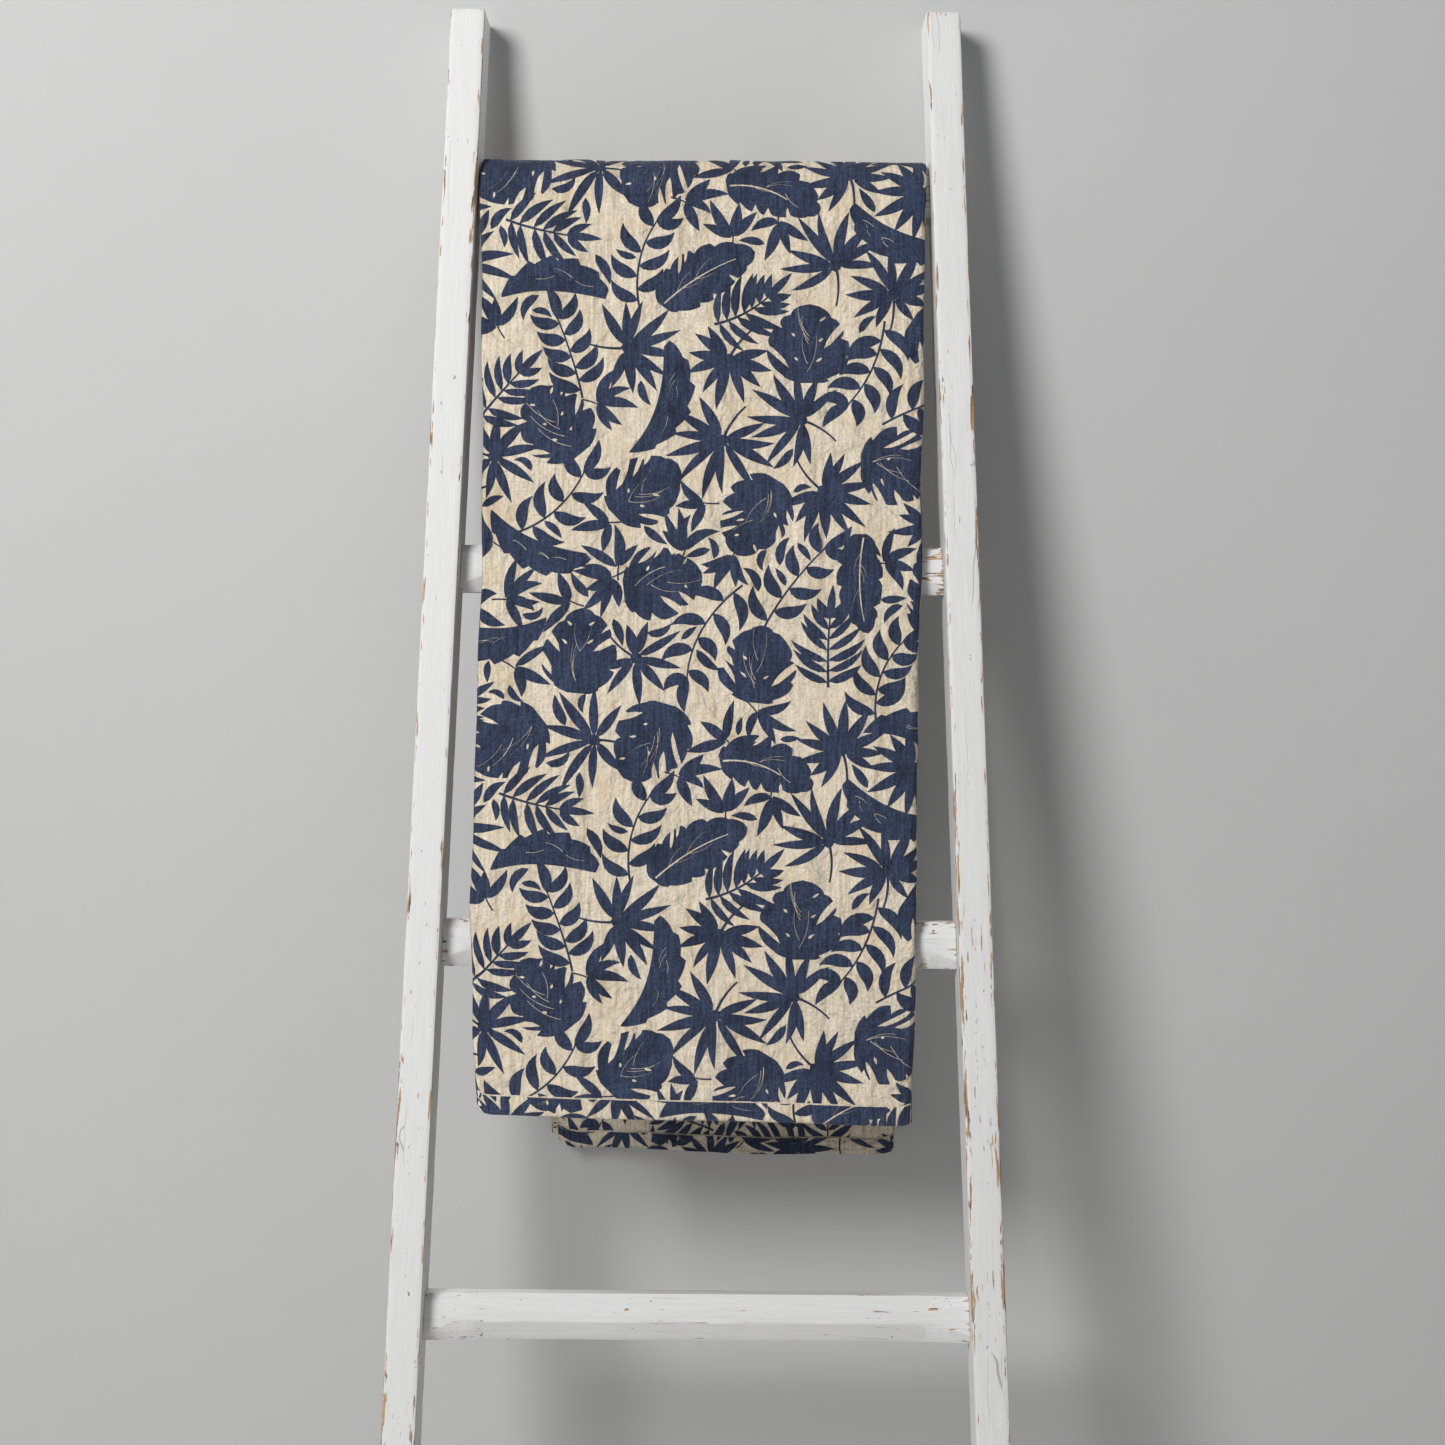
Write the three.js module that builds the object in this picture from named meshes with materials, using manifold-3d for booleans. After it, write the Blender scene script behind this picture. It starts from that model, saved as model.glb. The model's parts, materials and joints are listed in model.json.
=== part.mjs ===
// A tapered wooden blanket ladder leaning on a wall, with a quilt folded over its top rung.
// Millimetres. +Z is up, +X is to the right, the front faces -Y and the wall is on the +Y side.
// The origin is on the floor, under the middle of the leaning ladder.

import * as THREE from 'three';
import { mergeVertices } from 'three/addons/utils/BufferGeometryUtils.js';
import Module from 'manifold-3d';

const wasm = await Module();
wasm.setup();

// The ladder, measured in its own plane: "depth" runs from its front face to its back face,
// and "along" runs up it from the front edge of the feet.
const LEAN = THREE.MathUtils.degToRad(13);
const RAIL_LENGTH = 1838;
const TOP_WIDTH = 502;
const FOOT_WIDTH = 657;
const RAIL_WIDTH = 34;
const RAIL_DEPTH = 60;
const RAIL_EASE = 2.5;

const RUNG_COUNT = 5;
const RUNG_SPACING = 373;
const TOP_RUNG_DROP = 177;
const RUNG_FRONT = 24;
const RUNG_DEPTH = 30;
const RUNG_HEIGHT = 47;
const UPPER_CHAMFER = { height: 14, depth: 9 };
const LOWER_CHAMFER = { height: 20, depth: 12 };
const BACK_CHAMFER = { height: 5, depth: 5 };
const CHAMFER_RUNOUT = 52;
const CHAMFER_AT_RAIL = 0.45;

const TENON_LENGTH = 20;
const TENON_DEPTH = 18;
const TENON_HEIGHT = 32;
const TENON_EASE = 1;
const MORTISE_LENGTH = 22;
const GAP = 0.3;

const SCREW_LENGTH = 52;
const SCREW_HEAD_RADIUS = 4.5;
const SCREW_SHANK_RADIUS = 2.2;
const SCREW_RECESS = 0.4;

// The quilt: four layers of cloth and wadding, one stack, over the top rung.
const QUILT_WIDTH = 432;
const STACK_AT_RUNG = 12;
const STACK_AT_HEM = 18;
const QUILT_CLEARANCE = 0.5;
const FRONT_HEM_ALONG = 746;
const REAR_HEM_HEIGHT = 580;
const REAR_HEM_WIDTH = 375;
const REAR_HEM_SHIFT = 21;
const ARCH_STEPS = 3;
const DROP_STEPS = 6;
const BINDING_HEIGHT = 20;
const BINDING_THICKNESS = 1.5;

const SIN = Math.sin(LEAN);
const COS = Math.cos(LEAN);
const LADDER_REACH = RAIL_DEPTH * COS + RAIL_LENGTH * SIN;
const RUNG_MIDDLE = RUNG_FRONT + RUNG_DEPTH / 2;
const TOP_RUNG_ALONG = RAIL_LENGTH - TOP_RUNG_DROP;

const PAINT = { color: 0xdcdcdc, roughness: 0.62, metalness: 0 };
const STEEL = { color: 0x9a9a9c, roughness: 0.4, metalness: 0.9 };
const QUILT_CLOTH = { color: 0x6f7488, roughness: 0.95, metalness: 0 };
const BINDING_CLOTH = { color: 0x3a4562, roughness: 0.95, metalness: 0 };

function outerHalf(along) {
  const share = along / RAIL_LENGTH;
  return (FOOT_WIDTH + (TOP_WIDTH - FOOT_WIDTH) * share) / 2;
}

function innerHalf(along) {
  return outerHalf(along) - RAIL_WIDTH;
}

function rungAlong(number) {
  return TOP_RUNG_ALONG - (number - 1) * RUNG_SPACING;
}

// A point of the ladder's plane (depth, along) as a point (y, z) above the floor.
function fromLadder(depth, along) {
  return new THREE.Vector2(depth * COS + along * SIN, along * COS - depth * SIN);
}

function named(name, geometry, finish) {
  const mesh = new THREE.Mesh(geometry, new THREE.MeshStandardMaterial(finish));
  mesh.name = name;
  return mesh;
}

// --- solids -------------------------------------------------------------------------------

function toManifold(geometry) {
  const bare = geometry.clone();
  bare.deleteAttribute('normal');
  bare.deleteAttribute('uv');
  const merged = mergeVertices(bare);
  return new wasm.Manifold(new wasm.Mesh({
    numProp: 3,
    vertProperties: new Float32Array(merged.attributes.position.array),
    triVerts: new Uint32Array(merged.index.array),
  }));
}

function fromManifold(solid) {
  const mesh = solid.getMesh();
  const geometry = new THREE.BufferGeometry();
  geometry.setAttribute('position', new THREE.BufferAttribute(mesh.vertProperties, 3));
  geometry.setIndex(new THREE.BufferAttribute(mesh.triVerts, 1));
  geometry.computeVertexNormals();
  return geometry;
}

function cut(geometry, cutters) {
  let solid = toManifold(geometry);
  for (const cutter of cutters) {
    solid = solid.subtract(toManifold(cutter));
  }
  return fromManifold(solid);
}

// A closed solid through rings of equal point count, capped at both ends. Each ring is convex
// and runs counter-clockwise as seen looking back along the way the rings advance.
function loft(rings) {
  const count = rings[0].length;
  const positions = rings.flat().flatMap((point) => [point.x, point.y, point.z]);
  const index = [];
  for (let ring = 0; ring < rings.length - 1; ring += 1) {
    for (let i = 0; i < count; i += 1) {
      const a = ring * count + i;
      const b = ring * count + ((i + 1) % count);
      index.push(a, b, b + count, a, b + count, a + count);
    }
  }
  const last = (rings.length - 1) * count;
  for (let i = 1; i < count - 1; i += 1) {
    index.push(0, i + 1, i);
    index.push(last, last + i, last + i + 1);
  }
  const geometry = new THREE.BufferGeometry();
  geometry.setAttribute('position', new THREE.Float32BufferAttribute(positions, 3));
  geometry.setIndex(index);
  return geometry;
}

// --- screws -------------------------------------------------------------------------------

// A countersunk wood screw lying along +X, its head's face at x = 0. A spare width turns it
// into the hole it sits in, and the hole's mouth is then open.
function screwGeometry(spare) {
  const mouth = spare > 0 ? -3 : 0;
  const head = SCREW_HEAD_RADIUS + spare;
  const shank = SCREW_SHANK_RADIUS + spare;
  const profile = [
    [0, mouth],
    [head, mouth],
    [head, 0.8],
    [shank, 0.8 + SCREW_HEAD_RADIUS - SCREW_SHANK_RADIUS],
    [shank, SCREW_LENGTH - 5],
    [shank * 0.25, SCREW_LENGTH + spare],
    [0, SCREW_LENGTH + spare],
  ].map(([radius, distance]) => new THREE.Vector2(radius, distance));
  const geometry = new THREE.LatheGeometry(profile, 16);
  geometry.rotateZ(-Math.PI / 2);
  return geometry;
}

function screwHeadAt(side, number) {
  const along = rungAlong(number);
  return new THREE.Vector3(side * (outerHalf(along) - SCREW_RECESS), RUNG_MIDDLE, along);
}

function screwHole(side, number) {
  const hole = screwGeometry(GAP);
  if (side > 0) {
    hole.rotateZ(Math.PI);
  }
  const place = screwHeadAt(side, number);
  hole.translate(place.x, place.y, place.z);
  return hole;
}

function screw(side, number) {
  const mesh = named(`screw_${number}_${side < 0 ? 'left' : 'right'}`, screwGeometry(0), STEEL);
  mesh.position.copy(screwHeadAt(side, number));
  mesh.rotation.z = side > 0 ? Math.PI : 0;
  return mesh;
}

// --- rails --------------------------------------------------------------------------------

// The face of a rail in the ladder's plane, run on below the floor, where the foot is cut.
function railOutline(side) {
  const below = -40;
  const round = 4;
  const shape = new THREE.Shape();
  shape.moveTo(side * innerHalf(below), below);
  shape.lineTo(side * outerHalf(below), below);
  shape.lineTo(side * outerHalf(RAIL_LENGTH - round), RAIL_LENGTH - round);
  shape.quadraticCurveTo(
    side * outerHalf(RAIL_LENGTH), RAIL_LENGTH,
    side * (outerHalf(RAIL_LENGTH) - round), RAIL_LENGTH,
  );
  shape.lineTo(side * (innerHalf(RAIL_LENGTH) + round), RAIL_LENGTH);
  shape.quadraticCurveTo(
    side * innerHalf(RAIL_LENGTH), RAIL_LENGTH,
    side * innerHalf(RAIL_LENGTH - round), RAIL_LENGTH - round,
  );
  shape.closePath();
  return shape;
}

function mortise(side, number) {
  const along = rungAlong(number);
  const mouth = 6;
  const length = MORTISE_LENGTH + mouth;
  const box = new THREE.BoxGeometry(length, TENON_DEPTH + 2 * GAP, TENON_HEIGHT + 2 * GAP);
  box.translate(side * (innerHalf(along) - mouth + length / 2), RUNG_MIDDLE, along);
  return box;
}

// The half space under the floor, in the leaning ladder's own frame.
function floorCutter() {
  const size = 400;
  const box = new THREE.BoxGeometry(3 * size, size, size);
  box.translate(0, 0, -size / 2);
  box.rotateX(LEAN);
  return box;
}

function rail(side) {
  const stock = new THREE.ExtrudeGeometry(railOutline(side), {
    depth: RAIL_DEPTH - 2 * RAIL_EASE,
    bevelThickness: RAIL_EASE,
    bevelSize: RAIL_EASE,
    bevelOffset: -RAIL_EASE,
    bevelSegments: 2,
    curveSegments: 4,
  });
  stock.rotateX(Math.PI / 2);
  stock.translate(0, RAIL_DEPTH - RAIL_EASE, 0);
  const cutters = [floorCutter()];
  for (let number = 1; number <= RUNG_COUNT; number += 1) {
    cutters.push(mortise(side, number), screwHole(side, number));
  }
  return named(side < 0 ? 'rail_left' : 'rail_right', cut(stock, cutters), PAINT);
}

// --- rungs --------------------------------------------------------------------------------

// Eight (depth, along) corners around the middle of a bar whose four long edges are chamfered.
function barSection(depth, height, upper, lower, back) {
  const front = -depth / 2;
  const rear = depth / 2;
  const top = height / 2;
  const bottom = -height / 2;
  return [
    [front, top - upper.height],
    [front, bottom + lower.height],
    [front + lower.depth, bottom],
    [rear - back.depth, bottom],
    [rear, bottom + back.height],
    [rear, top - back.height],
    [rear - back.depth, top],
    [front + upper.depth, top],
  ];
}

function scaled(chamfer, share) {
  return { height: chamfer.height * share, depth: chamfer.depth * share };
}

function rungSection(share) {
  return barSection(
    RUNG_DEPTH, RUNG_HEIGHT,
    scaled(UPPER_CHAMFER, share), scaled(LOWER_CHAMFER, share), scaled(BACK_CHAMFER, share),
  );
}

function tenonSection() {
  const ease = { height: TENON_EASE, depth: TENON_EASE };
  return barSection(TENON_DEPTH, TENON_HEIGHT, ease, ease, ease);
}

// A ring of the rung at a distance inside the rail's inner face, which the shoulders follow.
function rungRing(side, number, inset, section) {
  const centre = rungAlong(number);
  return section.map(([depth, along]) => new THREE.Vector3(
    side * (innerHalf(centre + along) - inset), RUNG_MIDDLE + depth, centre + along,
  ));
}

// The rings of one end, from the tenon's tip to where the chamfers have their full width.
function rungEnd(side, number) {
  const rings = [
    rungRing(side, number, -TENON_LENGTH, tenonSection()),
    rungRing(side, number, GAP, tenonSection()),
  ];
  const steps = 5;
  for (let step = 0; step <= steps; step += 1) {
    const part = step / steps;
    const share = CHAMFER_AT_RAIL + (1 - CHAMFER_AT_RAIL) * Math.sin((part * Math.PI) / 2);
    rings.push(rungRing(side, number, GAP + part * CHAMFER_RUNOUT, rungSection(share)));
  }
  return rings;
}

function rung(number) {
  const rings = [...rungEnd(-1, number), ...rungEnd(1, number).reverse()];
  const bar = cut(loft(rings), [screwHole(-1, number), screwHole(1, number)]);
  return named(`rung_${number}`, bar, PAINT);
}

// --- quilt --------------------------------------------------------------------------------

// How far the top rung reaches from its middle in the direction (depth, along), taken at its
// fullest section, beside the rails.
function rungReach(direction) {
  const corners = rungSection(CHAMFER_AT_RAIL).map(([depth, along]) => new THREE.Vector2(depth, along));
  const slack = 1e-6;
  let reach = 0;
  corners.forEach((corner, i) => {
    const edge = corners[(i + 1) % corners.length].clone().sub(corner);
    const slant = direction.cross(edge);
    const distance = corner.cross(edge) / slant;
    const share = corner.cross(direction) / slant;
    if (distance > 0 && share > -slack && share < 1 + slack) {
      reach = Math.max(reach, distance);
    }
  });
  return reach;
}

// One stop of the stack's run from the front hem over the rung to the rear hem: the side that
// faces the rung, the side that faces out, and the two edges.
function stop(inner, outer, width, shift = 0) {
  return { inner, outer, left: shift - width / 2, right: shift + width / 2 };
}

function frontStops() {
  const stops = [];
  const inner = RUNG_FRONT - QUILT_CLEARANCE;
  for (let step = 0; step <= DROP_STEPS; step += 1) {
    const part = step / DROP_STEPS;
    const along = THREE.MathUtils.lerp(FRONT_HEM_ALONG + BINDING_HEIGHT, TOP_RUNG_ALONG, part);
    const thickness = THREE.MathUtils.lerp(STACK_AT_HEM, STACK_AT_RUNG, part);
    stops.push(stop(
      fromLadder(inner, along), fromLadder(inner - thickness, along), QUILT_WIDTH,
    ));
  }
  return stops;
}

// The directions from the rung's middle in which the bend has its stops: every corner of the
// rung that it passes, from the front face round to the upper back, and steps between them.
function archAngles() {
  const [front, , , , , back, backTop, frontTop] = rungSection(CHAMFER_AT_RAIL);
  const turns = [front, frontTop, backTop, back].map(([x, y]) => Math.atan2(y, x));
  const angles = [];
  let from = Math.PI;
  for (const to of turns) {
    for (let step = 1; step <= ARCH_STEPS; step += 1) {
      angles.push(THREE.MathUtils.lerp(from, to, step / ARCH_STEPS));
    }
    from = to;
  }
  return angles;
}

function archStops() {
  return archAngles().map((angle) => {
    const direction = new THREE.Vector2(Math.cos(angle), Math.sin(angle));
    const inner = rungReach(direction) + QUILT_CLEARANCE;
    const outer = inner + STACK_AT_RUNG;
    return stop(
      fromLadder(RUNG_MIDDLE + inner * direction.x, TOP_RUNG_ALONG + inner * direction.y),
      fromLadder(RUNG_MIDDLE + outer * direction.x, TOP_RUNG_ALONG + outer * direction.y),
      QUILT_WIDTH,
    );
  });
}

function rearStops(top) {
  const stops = [];
  const highest = top.y - STACK_AT_RUNG;
  for (let step = 0; step <= DROP_STEPS; step += 1) {
    const part = step / DROP_STEPS;
    const height = THREE.MathUtils.lerp(highest, REAR_HEM_HEIGHT + BINDING_HEIGHT, part);
    const thickness = THREE.MathUtils.lerp(STACK_AT_RUNG, STACK_AT_HEM, part);
    stops.push(stop(
      new THREE.Vector2(top.x, height),
      new THREE.Vector2(top.x + thickness, height),
      THREE.MathUtils.lerp(QUILT_WIDTH, REAR_HEM_WIDTH, part),
      REAR_HEM_SHIFT * part,
    ));
  }
  return stops;
}

// The stack's cross-section at one stop: a flat bar with its two folded edges rounded off.
function stackRing({ inner, outer, left, right }, skin = 0) {
  const across = outer.clone().sub(inner);
  const thickness = across.length();
  const round = thickness * 0.35;
  const at = (x, distance) => {
    const point = inner.clone().addScaledVector(across, distance / thickness);
    return new THREE.Vector3(x, point.x, point.y);
  };
  return [
    at(left + skin, thickness - round - skin / 2),
    at(left + round, thickness - skin),
    at(right - round, thickness - skin),
    at(right - skin, thickness - round - skin / 2),
    at(right - skin, round + skin / 2),
    at(right - round, skin),
    at(left + round, skin),
    at(left + skin, round + skin / 2),
  ];
}

// The stack's end that the binding wraps: a thinner tongue, run on past the last full ring.
function tongue(full, end) {
  const skin = BINDING_THICKNESS + GAP;
  return [stackRing(full, skin), stackRing(end, skin)];
}

function moved(from, y, z) {
  return {
    ...from,
    inner: from.inner.clone().add(new THREE.Vector2(y, z)),
    outer: from.outer.clone().add(new THREE.Vector2(y, z)),
  };
}

function quiltBody() {
  const arch = archStops();
  const stops = [...frontStops(), ...arch, ...rearStops(arch[arch.length - 1].inner)];
  const first = stops[0];
  const last = stops[stops.length - 1];
  const reach = BINDING_HEIGHT - BINDING_THICKNESS - GAP;
  const rings = [
    ...tongue(first, moved(first, -reach * SIN, -reach * COS)).reverse(),
    ...stops.map((each) => stackRing(each)),
    ...tongue(last, moved(last, 0, -reach)),
  ];
  return named('quilt', loft(rings), QUILT_CLOTH);
}

// The bound edge: a channel that wraps the end of the stack, lying along X, its open side up.
// Its fold is at z = 0 and it fills y = 0 to the stack's thickness.
function bindingGeometry(width) {
  const outline = new THREE.Shape();
  const wall = BINDING_THICKNESS;
  const far = STACK_AT_HEM;
  const top = BINDING_HEIGHT - GAP;
  outline.moveTo(wall, 0);
  outline.lineTo(far - wall, 0);
  outline.quadraticCurveTo(far, 0, far, wall);
  outline.lineTo(far, top);
  outline.lineTo(far - wall, top);
  outline.lineTo(far - wall, wall);
  outline.lineTo(wall, wall);
  outline.lineTo(wall, top);
  outline.lineTo(0, top);
  outline.lineTo(0, wall);
  outline.quadraticCurveTo(0, 0, wall, 0);
  const geometry = new THREE.ExtrudeGeometry(outline, {
    depth: width, bevelEnabled: false, curveSegments: 3,
  });
  geometry.rotateX(Math.PI / 2);
  geometry.rotateZ(Math.PI / 2);
  geometry.translate(-width / 2, 0, 0);
  return geometry;
}

function bindings(rearInner) {
  const front = named('binding_front', bindingGeometry(QUILT_WIDTH), BINDING_CLOTH);
  const place = fromLadder(RUNG_FRONT - QUILT_CLEARANCE - STACK_AT_HEM, FRONT_HEM_ALONG);
  front.position.set(0, place.x, place.y);
  front.rotation.x = -LEAN;
  const rear = named('binding_rear', bindingGeometry(REAR_HEM_WIDTH), BINDING_CLOTH);
  rear.position.set(REAR_HEM_SHIFT, rearInner, REAR_HEM_HEIGHT);
  return [front, rear];
}

// --- the whole ----------------------------------------------------------------------------

function ladder() {
  const group = new THREE.Group();
  group.rotation.x = -LEAN;
  group.add(rail(-1), rail(1));
  for (let number = 1; number <= RUNG_COUNT; number += 1) {
    group.add(rung(number), screw(-1, number), screw(1, number));
  }
  return group;
}

function quilt() {
  const group = new THREE.Group();
  const arch = archStops();
  group.add(quiltBody(), ...bindings(arch[arch.length - 1].inner.x));
  return group;
}

const whole = new THREE.Group();
const standing = new THREE.Group();
standing.add(ladder(), quilt());
standing.position.y = -LADDER_REACH / 2;
whole.add(standing);

export default whole;
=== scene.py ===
"""A painted blanket ladder with a leaf-print quilt folded over its top rung.

Each operator builds one piece, or one group of like pieces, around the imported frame. Sizes are in
metres. Most wood work is done in the ladder's own frame: x across, y from its front face to its
back, z up along its rails. A quilt point is given by u, across the flat sheet, and v, along it
from the front hem over the rung to the rear hem.
"""

import json
import random
from math import atan2, ceil, copysign, cos, floor, pi, radians, sin, sqrt

import bmesh
import bpy
import numpy as np
from bpy.props import FloatProperty, FloatVectorProperty, IntProperty, PointerProperty
from mathutils import Matrix, Vector, noise
from mathutils.geometry import delaunay_2d_cdt


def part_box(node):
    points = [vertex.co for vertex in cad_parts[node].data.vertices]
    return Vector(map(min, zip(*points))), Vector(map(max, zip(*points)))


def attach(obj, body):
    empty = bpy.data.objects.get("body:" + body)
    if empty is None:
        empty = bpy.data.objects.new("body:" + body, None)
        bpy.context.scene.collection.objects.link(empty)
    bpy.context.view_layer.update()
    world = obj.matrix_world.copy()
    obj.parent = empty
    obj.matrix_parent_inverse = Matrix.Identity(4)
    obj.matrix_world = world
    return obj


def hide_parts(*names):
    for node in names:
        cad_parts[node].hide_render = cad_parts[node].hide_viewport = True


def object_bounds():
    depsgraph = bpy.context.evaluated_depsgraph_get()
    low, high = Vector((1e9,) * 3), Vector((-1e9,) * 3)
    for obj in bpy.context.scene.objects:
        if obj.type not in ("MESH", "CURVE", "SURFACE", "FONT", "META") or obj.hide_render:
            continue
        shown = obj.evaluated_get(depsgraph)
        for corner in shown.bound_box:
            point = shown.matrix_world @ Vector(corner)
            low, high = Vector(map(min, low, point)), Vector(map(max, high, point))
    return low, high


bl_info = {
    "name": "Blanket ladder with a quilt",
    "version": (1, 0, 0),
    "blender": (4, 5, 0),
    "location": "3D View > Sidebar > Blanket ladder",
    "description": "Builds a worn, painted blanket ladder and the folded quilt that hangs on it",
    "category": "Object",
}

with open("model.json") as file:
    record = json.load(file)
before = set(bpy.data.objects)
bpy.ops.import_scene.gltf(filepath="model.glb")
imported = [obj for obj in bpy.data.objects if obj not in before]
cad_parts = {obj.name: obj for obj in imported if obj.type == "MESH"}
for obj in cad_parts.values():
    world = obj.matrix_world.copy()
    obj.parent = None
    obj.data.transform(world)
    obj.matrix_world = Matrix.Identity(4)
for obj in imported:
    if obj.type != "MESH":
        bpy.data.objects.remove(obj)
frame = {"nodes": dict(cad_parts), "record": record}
CAD_BOUNDS = [list(corner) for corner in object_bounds()]

# --- the ladder's own frame ---

TREAD_AXIS = next(m["axis"] for m in frame["record"]["mounts"] if m["name"] == "rung_4_top")
LEAN = atan2(TREAD_AXIS[1], TREAD_AXIS[2])
RAIL_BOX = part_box("rail_right")
LADDER = Matrix.Translation((0, RAIL_BOX[0][1], 0)) @ Matrix.Rotation(-LEAN, 4, "X")
RAIL_WIDTH = 0.034
RAIL_DEPTH = 0.060
RAIL_LENGTH = RAIL_BOX[1][2] / cos(LEAN)
FOOT_HALF = RAIL_BOX[1][0]
TAPER = (FOOT_HALF - RAIL_WIDTH - RAIL_BOX[0][0]) / RAIL_LENGTH
RAILS = ("rail_left", "rail_right")
RUNGS = tuple(f"rung_{number}" for number in range(1, 6))
SCREWS = tuple(f"screw_{n}_{side}" for n in range(1, 6) for side in ("left", "right"))


def inner_half(along):
    """Half the clear width between the rails, this far up the ladder."""
    return FOOT_HALF - RAIL_WIDTH - TAPER * along


# --- settings ---


class LadderSettings(bpy.types.PropertyGroup):
    station: FloatProperty(
        name="Station", description="Distance between the cuts along a bar", default=0.013,
        unit="LENGTH")
    dent: FloatProperty(
        name="Dent", description="How deep the knocks in an edge are", default=0.0012,
        unit="LENGTH")
    paint: FloatVectorProperty(
        name="Paint", description="Colour of the chalk paint", subtype="COLOR",
        default=(0.735, 0.74, 0.74))
    bare_wood: FloatVectorProperty(
        name="Bare wood", description="Colour where the paint has worn through",
        subtype="COLOR", default=(0.50, 0.305, 0.165))


class QuiltSettings(bpy.types.PropertyGroup):
    quarter: FloatProperty(
        name="Quarter", description="A quarter of the quilt's width, its folded width",
        default=0.432, unit="LENGTH")
    cloth_thickness: FloatProperty(
        name="Layer", description="Thickness of one quilted layer", default=0.0024,
        unit="LENGTH")
    linen: FloatVectorProperty(
        name="Linen", description="Colour of the unprinted cloth", subtype="COLOR",
        default=(0.74, 0.65, 0.52))
    ink: FloatVectorProperty(
        name="Ink", description="Colour of the printed leaves", subtype="COLOR",
        default=(0.0195, 0.0265, 0.050))
    print_seed: IntProperty(
        name="Print seed", description="Arrangement of the printed leaves", default=11)


class StageSettings(bpy.types.PropertyGroup):
    view_height: FloatProperty(
        name="View height", description="How far up the ladder the camera looks",
        default=1.136, unit="LENGTH")
    view_side: FloatProperty(
        name="View side", description="How far right of the middle the camera looks",
        default=0.0216, unit="LENGTH")
    view_distance: FloatProperty(
        name="View distance", description="Camera to the ladder's front", default=2.480,
        unit="LENGTH")
    view_roll: FloatProperty(
        name="View roll", description="Tilt of the camera", default=radians(0.395),
        subtype="ANGLE")
    lens: FloatProperty(name="Lens", description="Focal length in millimetres", default=62.73)
    wall: FloatVectorProperty(
        name="Wall", description="Colour of the backdrop", subtype="COLOR",
        default=(0.54, 0.545, 0.545))
    floor: FloatVectorProperty(
        name="Floor", description="Colour of the floor", subtype="COLOR",
        default=(0.60, 0.59, 0.58))


# --- small helpers ---


def settings():
    return bpy.context.scene.blanket_ladder, bpy.context.scene.blanket_quilt


def linked(name, data):
    """A shown object at the origin."""
    made = bpy.data.objects.new(name, data)
    bpy.context.scene.collection.objects.link(made)
    return made


def add_object(name, mesh, material):
    mesh.materials.append(material)
    return linked(name, mesh)


def mesh_from(bm, name, smooth=True):
    mesh = bpy.data.meshes.new(name)
    bm.to_mesh(mesh)
    bm.free()
    mesh.polygons.foreach_set("use_smooth", [smooth] * len(mesh.polygons))
    return mesh


def ripple(x, y, length, seed, waves=7):
    """A smooth random surface between about -1 and 1, with features of roughly this length."""
    rng = np.random.default_rng(seed)
    total = 0.0
    for _ in range(waves):
        angle, phase = rng.uniform(0, 2 * pi, 2)
        pitch = 2 * pi / (length * rng.uniform(0.75, 1.5))
        total = total + np.sin(pitch * (x * cos(angle) + y * sin(angle)) + phase)
    return total / sqrt(waves) / 1.3


def tinted(color, factor):
    return [factor * part for part in color]


def smoothstep(low, high, value):
    t = np.clip((value - low) / (high - low), 0, 1)
    return t * t * (3 - 2 * t)


# --- material building ---


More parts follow.
